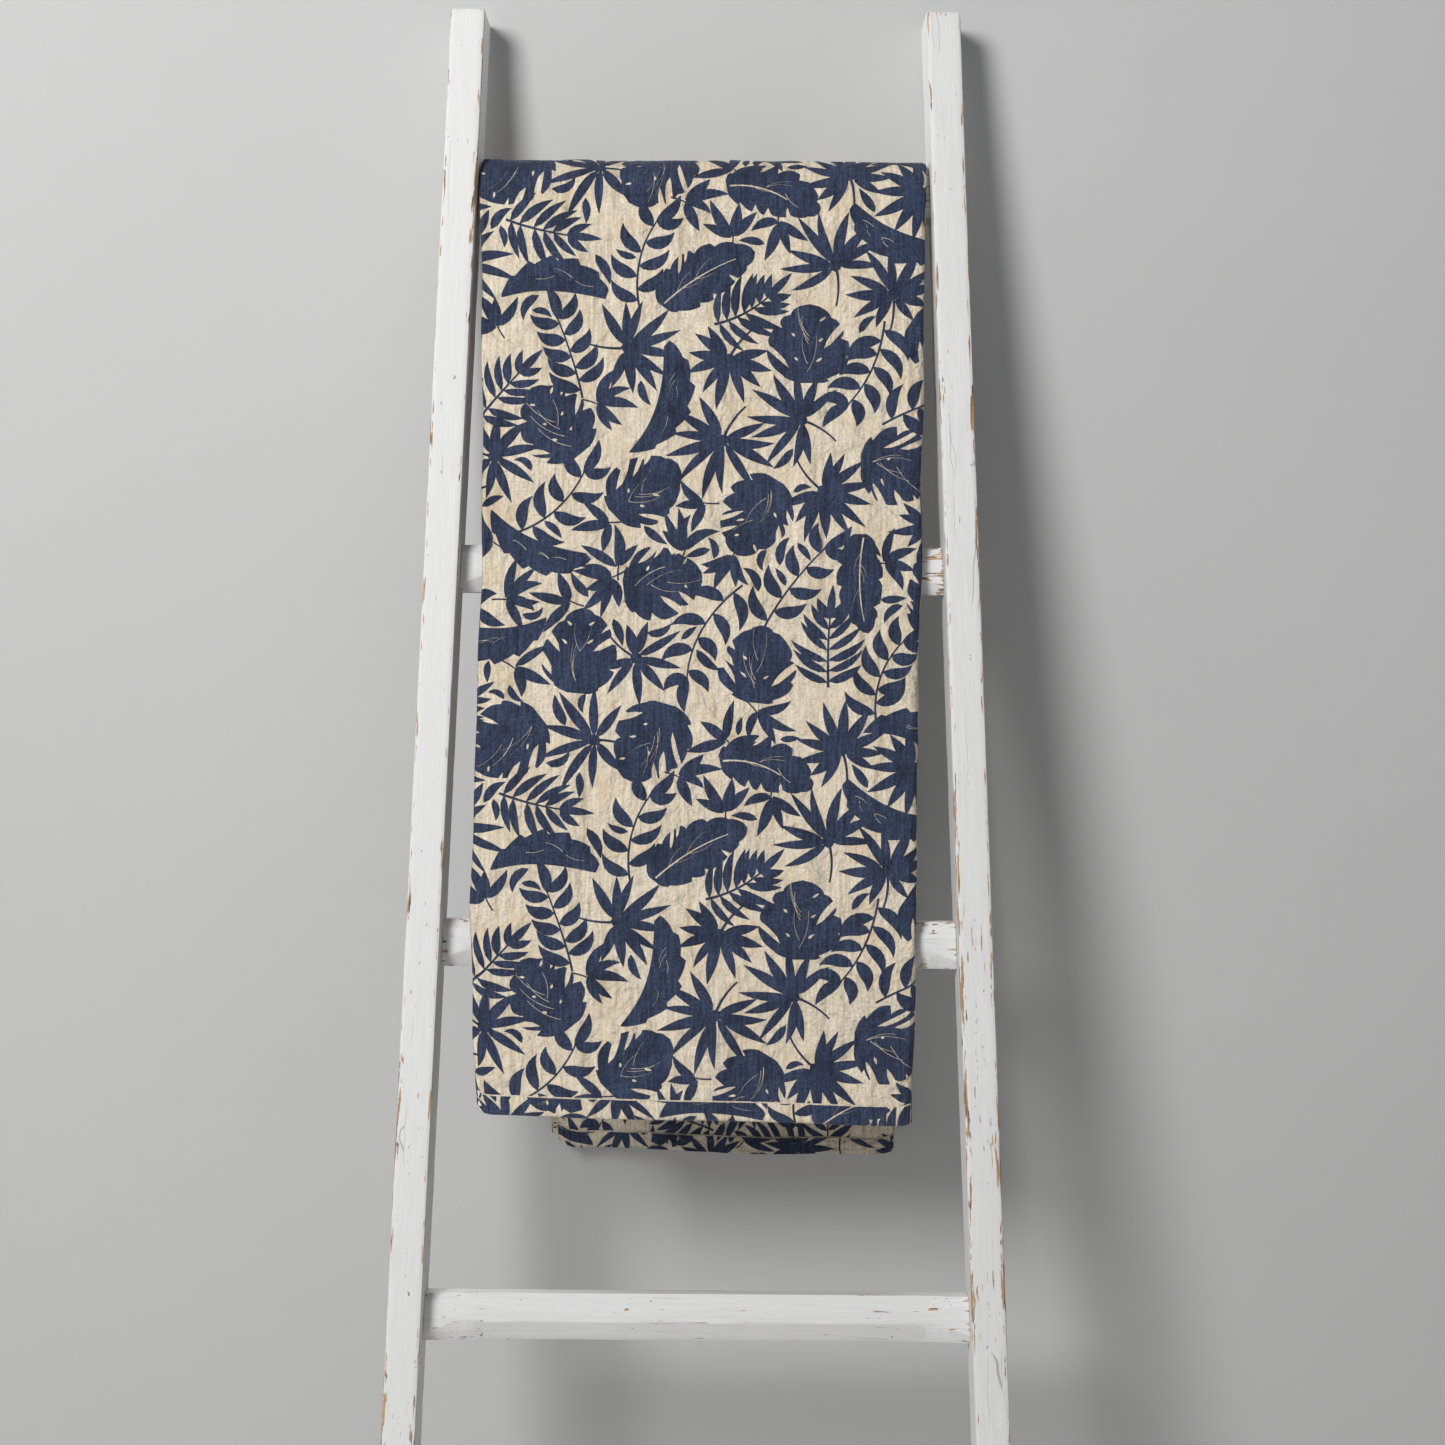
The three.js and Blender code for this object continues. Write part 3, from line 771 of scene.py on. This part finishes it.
def stem(points, thick, thin):
    """A thin strip along some points, thinner at its far end."""
    points = np.array(points)
    ways = np.gradient(points, axis=0)
    sides = np.stack([-ways[:, 1], ways[:, 0]], axis=1) / np.hypot(*ways.T)[:, None]
    halves = np.linspace(thick, thin, len(points))[:, None] / 2
    return [*(points - sides * halves), *(points + sides * halves)[::-1]]


def curve(start, heading, length, bend, steps=10):
    place, path = np.array(start, float), []
    for step in range(steps + 1):
        path.append(place.copy())
        angle = heading + bend * step / steps
        place = place + length / steps * way(angle)
    return path


def swelling(t, width, start, skew, fullness):
    """Half a leaf's width at a share t of its length, from a nearly closed base to its tip."""
    return 0.5 * width * sin(pi * (start + (1 - start) * t) ** skew) ** fullness if t < 1 else 0


def broad_leaf(length, width, bend, teeth, depth, rng):
    """The outline of a broad leaf whose edge is torn into uneven lobes."""
    steps = 9 * teeth
    path = curve((0, 0), -bend / 2, length, bend, steps)
    sides = {}
    for side in (-1, 1):
        cuts = [(i + rng.uniform(0.2, 0.8)) / teeth for i in range(teeth)]
        depths = [depth * rng.uniform(0.2, 1.0) for _ in cuts]
        edge = []
        for step, place in enumerate(path):
            t = step / steps
            half = swelling(t, width, 0.004, 0.8, 0.55)
            for cut, deep in zip(cuts, depths):
                behind = (t - cut) * teeth * 1.6
                half *= 1 - deep * (1 - behind) ** 2 if 0 <= behind < 1 else 1
            angle = bend * (t - 0.5) + side * pi / 2
            edge.append(place + half * way(angle))
        sides[side] = edge
    return sides[-1] + sides[1][-2:0:-1]


def hairlines(length, width, bend, count, rng):
    """Fine pale veins that sweep from a broad leaf's middle towards its edge and tip."""
    path = curve((0, 0), -bend / 2, length, bend, 20)
    lines = []
    for _ in range(count):
        at, side = rng.randint(3, 12), rng.choice((-1, 1))
        heading = bend * (at / 20 - 0.5) + side * rng.uniform(0.35, 0.8)
        line = curve(path[at], heading, width * rng.uniform(0.35, 0.55), -side * 0.7, 6)
        lines.append(stem(line, 0.0006, 0.0004))
    return lines


def palmate(rng):
    """A fan leaf: narrow leaflets spread round the end of a stalk."""
    count, size = rng.randint(8, 11), rng.uniform(0.045, 0.058)
    spread = radians(rng.uniform(100, 145))
    dark, lean = [], rng.uniform(-0.3, 0.3)
    for i in range(count):
        angle = -spread + 2 * spread * i / (count - 1) + rng.uniform(-0.07, 0.07)
        length = size * (0.58 + 0.42 * cos(angle / 2)) * rng.uniform(0.85, 1.08)
        base = (0.003 * cos(angle), 0.003 * sin(angle))
        width = rng.uniform(0.0084, 0.0112)
        dark.append(blade(base, angle, length, width, bend=lean + rng.uniform(-0.3, 0.3)))
    dark.append(stem(curve((0, 0), pi, 0.040, 0.5), 0.0026, 0.0016))
    dark.append(blade((-0.006, 0), 0, 0.016, 0.011))
    return dark, []


def fern(rng):
    """Long narrow leaflets close together along a stalk, swept towards its tip."""
    length, bend = rng.uniform(0.060, 0.078), rng.uniform(-0.6, 0.6)
    spine = curve((0, 0), 0, length, bend, 14)
    dark, pairs = [stem(spine, 0.0026, 0.0014)], rng.randint(6, 7)
    for i in range(pairs):
        t = 0.10 + 0.84 * i / (pairs - 1)
        reach = 0.041 * sin(pi * (0.32 + 0.50 * t)) * rng.uniform(0.9, 1.05)
        for side in (-1, 1):
            turn = bend * t + side * (1.15 - 0.65 * t) * rng.uniform(0.9, 1.1)
            dark.append(blade(spine[int(t * 14)], turn, reach, rng.uniform(0.0072, 0.0092),
                              bend=side * rng.uniform(-0.7, -0.3), steps=5))
    dark.append(blade(spine[-2], bend, 0.034, 0.008))
    return dark, []


def frond(rng):
    """Wavy leaflets, well apart, along both sides of a thin curved stalk."""
    length, bend = rng.uniform(0.085, 0.115), rng.uniform(-1.0, 1.0)
    spine = curve((0, 0), 0, length, bend, 20)
    dark, pairs = [stem(spine, 0.0021, 0.0013)], rng.randint(4, 5)
    for i in range(pairs):
        t = 0.14 + 0.76 * i / (pairs - 1)
        for side in (-1, 1):
            here = spine[min(20, int((t + 0.06 * (side > 0)) * 20))]
            turn = bend * t + side * rng.uniform(0.75, 0.95)
            reach = rng.uniform(0.033, 0.041) * (1.08 - 0.3 * t)
            dark.append(blade(here, turn, reach, rng.uniform(0.0112, 0.0132),
                              curl=side * 0.45, bend=side * -0.10, fullness=1.0, steps=8))
    dark.append(blade(spine[-2], bend, 0.036, 0.0115, curl=0.3))
    return dark, []


def split_leaf(rng):
    """A broad heart-shaped leaf with torn edges, a few deep splits and small holes."""
    length, width = rng.uniform(0.072, 0.086), rng.uniform(0.068, 0.080)
    bend = rng.uniform(-0.4, 0.4)
    dark, pale = [broad_leaf(length, width, bend, 4, 0.34, rng)], []
    for side in (-1, 1):
        for i in range(3):
            t = 0.22 + 0.24 * i + rng.uniform(-0.04, 0.04)
            if rng.random() < 0.75:
                tip = (length * t, side * width * rng.uniform(0.20, 0.30))
                pale.append(blade(tip, side * rng.uniform(0.7, 1.1), 0.050,
                                  rng.uniform(0.0045, 0.0085), bend=side * 0.4, fullness=0.7))
            if rng.random() < 0.6:
                hole = (length * (t + 0.09), side * width * rng.uniform(0.09, 0.16))
                pale.append(blade(hole, side * 0.9, rng.uniform(0.004, 0.009), 0.0026, steps=4))
    pale += hairlines(length, width, bend, 5, rng)
    return dark, pale


def banana_leaf(rng):
    """A long broad leaf with a pale rib, torn along its edges."""
    length, width = rng.uniform(0.094, 0.112), rng.uniform(0.044, 0.054)
    bend = rng.choice((-1, 1)) * rng.uniform(0.35, 0.9)
    dark = [broad_leaf(length, width, bend, 5, 0.42, rng)]
    rib = curve((0.004, 0), -bend / 2, length * rng.uniform(0.6, 0.85), bend * 0.9)
    pale = [stem(rib, 0.0019, 0.0010)]
    for _ in range(rng.randint(2, 4)):
        t, side = rng.uniform(0.2, 0.85), rng.choice((-1, 1))
        angle = bend * (t - 0.5)
        spot = curve((0, 0), -bend / 2, length, bend)[int(t * 10)]
        out = across(angle) * side * width * rng.uniform(0.22, 0.34)
        pale.append(blade(spot + out, angle + side * 0.9, 0.030, rng.uniform(0.003, 0.005),
                          fullness=0.6))
    pale += hairlines(length, width, bend, 4, rng)
    return dark, pale


def crescent(rng):
    """A long, wide, curved leaf with a toothed outer edge and a smooth inner one."""
    bend = rng.choice((-1, 1)) * rng.uniform(1.5, 2.0)
    length, width, steps = rng.uniform(0.112, 0.134), rng.uniform(0.031, 0.037), 36
    path = curve((0, 0), -bend / 2, length, bend, steps)
    outer, inner = [], []
    for step, place in enumerate(path):
        t = step / steps
        half = swelling(t, width, 0.02, 0.9, 0.75)
        tooth = 1.18 - 0.36 * ((step % 6) / 6)
        angle = bend * (t - 0.5)
        side = across(angle) * copysign(1, bend)
        outer.append(place - side * half * tooth)
        inner.append(place + side * half * 0.8)
    first, second = (outer, inner) if bend > 0 else (inner, outer)
    return [first + second[-2:0:-1]], hairlines(length, width, bend, 4, rng)


def sprig(rng):
    """Three to six plain leaves on a short stalk."""
    count = rng.randint(3, 6)
    dark = [stem(curve((-0.014, 0), 0, 0.018, 0.3), 0.0016, 0.0012)]
    for i in range(count):
        angle = (i / (count - 1) - 0.5) * rng.uniform(1.7, 2.5)
        dark.append(blade((0, 0), angle, rng.uniform(0.028, 0.044), rng.uniform(0.0085, 0.0112),
                          bend=rng.uniform(-0.5, 0.5), curl=rng.uniform(-0.3, 0.3), steps=6))
    return dark, []


def loose_leaf(rng):
    length = rng.uniform(0.018, 0.034)
    return [blade((0, 0), 0, length, 0.25 * length + 0.0015, bend=rng.uniform(-0.7, 0.7),
                  curl=rng.uniform(-0.5, 0.5), steps=6)], []


def turned(outlines, angle, shift):
    turn = np.array([[cos(angle), sin(angle)], [-sin(angle), cos(angle)]])
    return [np.array(outline) @ turn + shift for outline in outlines]


def covered_cells(outlines):
    """The cells of a fine raster whose middles lie inside any of the outlines."""
    cells = set()
    for outline in outlines:
        low = np.floor(outline.min(0) / RASTER).astype(int)
        high = np.ceil(outline.max(0) / RASTER).astype(int)
        xs, ys = np.meshgrid(np.arange(low[0], high[0] + 1), np.arange(low[1], high[1] + 1))
        px, py = (xs + 0.5) * RASTER, (ys + 0.5) * RASTER
        inside = np.zeros(px.shape, bool)
        for (ax, ay), (bx, by) in zip(outline, np.roll(outline, -1, axis=0)):
            if ay != by:
                crosses = (ay > py) != (by > py)
                inside ^= crosses & (px < (bx - ax) * (py - ay) / (by - ay) + ax)
        cells |= set(zip(xs[inside].tolist(), ys[inside].tolist()))
    return np.array(sorted(cells))


def grown(mask, cells):
    """The mask spread by this many cells each way. The tile's edges meet."""
    for _ in range(cells):
        for axis in (0, 1):
            mask = mask | np.roll(mask, 1, axis) | np.roll(mask, -1, axis)
    return mask


def best_spot(taken, mask, limit, apart, rng):
    """The shift that lays a leaf closest among its neighbours, or farthest from them if apart,
    or None. At most this share of the leaf may lie over them."""

    def counts(under, over):
        spectrum = np.fft.rfft2(under) * np.conj(np.fft.rfft2(over))
        return np.rint(np.fft.irfft2(spectrum, s=under.shape)).astype(int)

    overlap = counts(grown(taken, 1), mask)
    near = counts(taken, grown(mask, APART_HALO if apart else CLOSE_HALO))
    contact = (-near if apart else near) - 2 * overlap
    allowed = overlap <= limit * mask.sum()
    if not allowed.any():
        return None
    free = np.flatnonzero(allowed)
    chosen = np.array([free[rng.randrange(len(free))] for _ in range(TRIES)])
    best = chosen[np.argmax(contact.ravel()[chosen])]
    return np.array(divmod(int(best), mask.shape[1]))


def arrange_print(seed):
    """Fills the repeating tile with leaves, the largest first, each close to its neighbours.
    Gives each leaf's dark outlines and the pale marks that are left out of it."""
    rng = random.Random(seed)
    taken = np.zeros((round(TILE[0] / RASTER), round(TILE[1] / RASTER)), bool)
    placed = []
    large = [crescent] * 6 + [split_leaf] * 14 + [banana_leaf] * 7
    middling = [palmate] * 19 + [frond] * 14 + [fern] * 11
    small = [sprig] * 24 + [loose_leaf] * 50
    rng.shuffle(large)
    rng.shuffle(middling)
    plan = ((large, 0.0, True, 1), (middling, 0.08, False, 4), (small, 0.06, False, 3))
    for shape, limit, apart, turns in [(s, *rest) for shapes, *rest in plan for s in shapes]:
        leaves, marks = shape(rng)
        for _ in range(turns):
            angle = rng.uniform(0, 2 * pi)
            outlines = turned(leaves, angle, 0)
            mask = np.zeros(taken.shape, bool)
            x, y = (covered_cells(outlines) % taken.shape).T
            mask[x, y] = True
            cell = best_spot(taken, mask, limit, apart, rng)
            if cell is not None:
                taken |= np.roll(mask, tuple(cell), (0, 1))
                shift = cell * RASTER
                placed.append(([o + shift for o in outlines], turned(marks, angle, shift)))
                break
    return placed


def cut_leaf(dark, pale, columns):
    """One leaf less its pale marks, as flat triangles cut along the sheet's grid."""
    verts, edges, faces = [], [], []
    for outline in dark + pale:
        faces.append(list(range(len(verts), len(verts) + len(outline))))
        verts += [Vector(point) for point in outline]
    low, high = np.concatenate(dark).min(0) - 1e-4, np.concatenate(dark).max(0) + 1e-4
    lines = [(Vector((x, low[1])), Vector((x, high[1]))) for turn in (-TILE[0], 0, TILE[0])
             for x in columns + turn if low[0] < x < high[0]]
    rows = np.arange(ceil(low[1] / CELL), floor(high[1] / CELL) + 1) * CELL
    lines += [(Vector((low[0], y)), Vector((high[0], y))) for y in rows]
    for line in lines:
        edges.append((len(verts), len(verts) + 1))
        verts += line
    out = delaunay_2d_cdt(verts, edges, faces, 1, 1e-7, True)
    kept = [t for t, own in zip(out[2], out[5]) if own and max(own) < len(dark)]
    return np.array([v[:] for v in out[0]])[np.array(kept)]


def print_tile(seed, columns):
    """The leaves of one repeat of the print: their triangles, and each one's own fine lift."""
    triangles, lifts = [], []
    for number, (dark, pale) in enumerate(arrange_print(seed)):
        triangles.append(cut_leaf(dark, pale, columns))
        lifts.append(np.full(len(triangles[-1]), 0.00002 * (number % 6)))
    return np.concatenate(triangles), np.concatenate(lifts)


def spread_print(triangles, lifts, area, tile_shift):
    """Copies of the tile's triangles over an area (u0, u1, v0, v1) of the sheet."""
    u0, u1, v0, v1 = area
    middles = triangles.mean(axis=1)
    shown, shown_lifts = [], []
    for i in range(-1, 5):
        for j in range(-2, 6):
            shift = np.array([i * TILE[0], j * TILE[1]]) + tile_shift
            spot = middles + shift
            keep = (spot[:, 0] > u0) & (spot[:, 0] < u1) & (spot[:, 1] > v0) & (spot[:, 1] < v1)
            shown.append(triangles[keep] + shift)
            shown_lifts.append(lifts[keep])
    return np.concatenate(shown).reshape(-1, 2), np.repeat(np.concatenate(shown_lifts), 3)


def build_print(quilt, ink):
    """The printed leaves: one thin skin of dye, just proud of the cloth it colours."""
    quarter = quilt.quarter
    folds = [(middle + side * off) % TILE[0] for middle in (quarter, 2 * quarter)
             for side in (-1, 1) for off in (0.004, 0.012)]
    columns = {*np.round(np.arange(0, TILE[0] - CELL / 2, CELL), 6), *np.round(folds, 6)}
    triangles, lifts = print_tile(quilt.print_seed, np.array(sorted(columns)))
    reach = 2 * quarter + CELL
    area = (0, reach, 2 * CELL, floor(SHEET_LENGTH / CELL - 2) * CELL)
    flat, lift = spread_print(triangles, lifts, area, (0, 0))
    layers, flats = [(flat, lift + INK_LIFT)], [flat]
    flat, lift = spread_print(triangles, lifts, (0, reach, 0, 3 * CELL), (-0.16, -0.24))
    squeeze = (BINDING_HEIGHT - BINDING_HEM) / (3 * CELL)
    for at_start in (True, False):
        strip = flat * (1, squeeze)
        if not at_start:
            strip = np.stack([strip[:, 0], SHEET_LENGTH - strip[:, 1]], axis=1)
        layers.append((strip, lift + BINDING_FACE + INK_LIFT))
        flats.append(strip + BINDING_UV)
    places = np.concatenate([drape(flat[:, 0], flat[:, 1], lift, quarter) for flat, lift in layers])
    flats = np.concatenate(flats)
    mesh = bpy.data.meshes.new("leaf_print")
    mesh.vertices.add(len(places))
    mesh.loops.add(len(places))
    mesh.polygons.add(len(places) // 3)
    mesh.loops.foreach_set("vertex_index", np.arange(len(places)))
    mesh.polygons.foreach_set("loop_start", np.arange(0, len(places), 3))
    mesh.update(calc_edges=True)
    set_places(mesh, places, flats)
    weld(mesh, 2e-6)
    piece = add_object("leaf_print", mesh, ink)
    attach(piece, "quilt")
    return piece


# --- stage ---

ROOM = 6
WALL_HALF = 2.5


def stage_finish(name, color, see_through=False):
    plain = Finish(name)
    place = plain.add("TexCoord").outputs["Object"]
    mottle = plain.noise(place, 3.0, detail=4)
    shade = plain.blend(plain.ramp(mottle, 0.3, 0.7), tinted(color, 0.985), color)
    material = plain.surface(shade, 0.85, Specular_IOR_Level=0.2)
    if see_through:
        clear = plain.add("BsdfTransparent")
        mix = plain.add("MixShader")
        plain.join(plain.add("NewGeometry").outputs["Backfacing"], mix.inputs["Fac"])
        plain.join(plain.shader.outputs["BSDF"], mix.inputs[1])
        plain.join(clear.outputs["BSDF"], mix.inputs[2])
        plain.join(mix.outputs["Shader"], plain.tree.nodes["Material Output"].inputs["Surface"])
    return material


def add_plane(name, half_width, half_height, matrix, material):
    bm = bmesh.new()
    bmesh.ops.create_grid(bm, x_segments=1, y_segments=1, size=1)
    bmesh.ops.transform(
        bm, matrix=matrix @ Matrix.Diagonal((half_width, half_height, 1, 1)), verts=bm.verts)
    plane = add_object(name, mesh_from(bm, name, smooth=False), material)
    return plane


def add_area(name, place, target, size, power, color=(1, 1, 1)):
    light = bpy.data.lights.new(name, "AREA")
    light.shape = "DISK"
    light.size, light.energy, light.color = size, power, color
    lamp = linked(name, light)
    lamp.location = place
    lamp.rotation_euler = (Vector(target) - Vector(place)).to_track_quat("-Z", "Y").to_euler()


def build_stage(stage):
    wall_y = CAD_BOUNDS[1][1] + 0.001
    ground = stage_finish("pale_floor", stage.floor)
    wall = stage_finish("plain_wall", stage.wall, see_through=True)
    add_plane("floor", ROOM, ROOM, Matrix.Identity(4), ground)
    upright = Matrix.Translation((0, wall_y, WALL_HALF)) @ Matrix.Rotation(radians(90), 4, "X")
    backdrop = add_plane("backdrop", ROOM, WALL_HALF, upright, wall)
    backdrop.visible_shadow = False

    add_area("window_light", (-1.62, -2.8, 3.1), (0.04, 0.1, 1.0), 1.25, 134, (1.0, 0.995, 0.985))
    add_area("room_fill", (1.6, -3.0, 1.3), (0, 0, 1.0), 2.6, 6)
    add_area("rear_fill", (-0.4, 3.2, 2.2), (0, 0.2, 0.9), 2.4, 44)
    world = bpy.data.worlds.new("studio")
    bpy.context.scene.world = world
    world.use_nodes = True
    glow = world.node_tree.nodes["Background"].inputs
    glow["Color"].default_value = (0.80, 0.82, 0.84, 1)
    glow["Strength"].default_value = 0.18


def build_camera(stage):
    camera = linked("camera", bpy.data.cameras.new("camera"))
    facing = LADDER.to_3x3() @ Vector((0, -1, 0))
    aim = LADDER @ Vector((stage.view_side, 0, stage.view_height))
    camera.location = aim + facing * stage.view_distance
    upright = Matrix.Rotation(radians(90) - LEAN, 4, "X")
    camera.rotation_euler = (upright @ Matrix.Rotation(stage.view_roll, 4, "Z")).to_euler()
    camera.data.sensor_width = 36
    camera.data.lens = stage.lens
    bpy.context.scene.camera = camera
    bpy.context.scene.view_settings.view_transform = "Standard"


# --- operators ---


class LADDER_OT_rails(bpy.types.Operator):
    """Build the two worn, painted side rails"""

    bl_idname = "blanket_ladder.rails"
    bl_label = "Rails"

    def execute(self, context):
        ladder, _ = settings()
        paint = bpy.data.materials.get("chalk_paint") or painted_wood(ladder)
        for seed, node in enumerate(RAILS):
            build_rail(node, ladder, paint, seed)
        return {"FINISHED"}


class LADDER_OT_rungs(bpy.types.Operator):
    """Build the five chamfered rungs"""

    bl_idname = "blanket_ladder.rungs"
    bl_label = "Rungs"

    def execute(self, context):
        ladder, _ = settings()
        paint = bpy.data.materials.get("chalk_paint") or painted_wood(ladder)
        for seed, node in enumerate(RUNGS, start=3):
            build_rung(node, ladder, paint, seed)
        return {"FINISHED"}


class LADDER_OT_screws(bpy.types.Operator):
    """Build the ten countersunk screws"""

    bl_idname = "blanket_ladder.screws"
    bl_label = "Screws"

    def execute(self, context):
        steel = plated_steel()
        for node in SCREWS:
            build_screw(node, steel)
        return {"FINISHED"}


class LADDER_OT_quilt(bpy.types.Operator):
    """Build the folded quilt, its print and its bound ends"""

    bl_idname = "blanket_ladder.quilt"
    bl_label = "Quilt"

    def execute(self, context):
        _, quilt = settings()
        tan = (0.88 * quilt.linen[0], 0.78 * quilt.linen[1], 0.64 * quilt.linen[2])
        dark, light = tinted(quilt.linen, 0.74), tinted(quilt.linen, 1.10)
        linen = quilt_cloth("linen", dark, light, tan, slub_share=0.55, sheen=0.15)
        faded, deep = tinted(quilt.ink, 2.7), tinted(quilt.ink, 0.75)
        ink = quilt_cloth("leaf_ink", quilt.ink, faded, deep, slub_share=0.20, sheen=0.06)
        sheet = build_quilt(quilt, linen)
        leaves = build_print(quilt, ink)
        front = build_binding("front_binding", "binding_front", True, quilt, linen)
        rear = build_binding("rear_binding", "binding_rear", False, quilt, linen)
        return {"FINISHED"}


class LADDER_OT_stage(bpy.types.Operator):
    """Set up the floor, the backdrop, the lights and the camera"""

    bl_idname = "blanket_ladder.stage"
    bl_label = "Stage"

    def execute(self, context):
        build_stage(context.scene.blanket_stage)
        build_camera(context.scene.blanket_stage)
        return {"FINISHED"}


class LADDER_PT_panel(bpy.types.Panel):
    bl_idname = "LADDER_PT_panel"
    bl_label = "Blanket ladder"
    bl_space_type = "VIEW_3D"
    bl_region_type = "UI"
    bl_category = "Blanket ladder"

    def draw(self, context):
        for operator in OPERATORS:
            self.layout.operator(operator.bl_idname)
        for group in (context.scene.blanket_ladder, context.scene.blanket_quilt,
                      context.scene.blanket_stage):
            box = self.layout.box()
            for name in type(group).__annotations__:
                box.prop(group, name)


OPERATORS = (LADDER_OT_stage, LADDER_OT_rails, LADDER_OT_rungs, LADDER_OT_screws, LADDER_OT_quilt)
CLASSES = (LadderSettings, QuiltSettings, StageSettings, *OPERATORS, LADDER_PT_panel)


def register():
    for each in CLASSES:
        bpy.utils.register_class(each)
    bpy.types.Scene.blanket_ladder = PointerProperty(type=LadderSettings)
    bpy.types.Scene.blanket_quilt = PointerProperty(type=QuiltSettings)
    bpy.types.Scene.blanket_stage = PointerProperty(type=StageSettings)


def unregister():
    del bpy.types.Scene.blanket_stage
    del bpy.types.Scene.blanket_quilt
    del bpy.types.Scene.blanket_ladder
    for each in reversed(CLASSES):
        bpy.utils.unregister_class(each)


def main():
    register()
    bpy.ops.blanket_ladder.stage()
    bpy.ops.blanket_ladder.rails()
    bpy.ops.blanket_ladder.rungs()
    bpy.ops.blanket_ladder.screws()
    bpy.ops.blanket_ladder.quilt()
    bpy.context.view_layer.update()


if __name__ == "__main__":
    main()
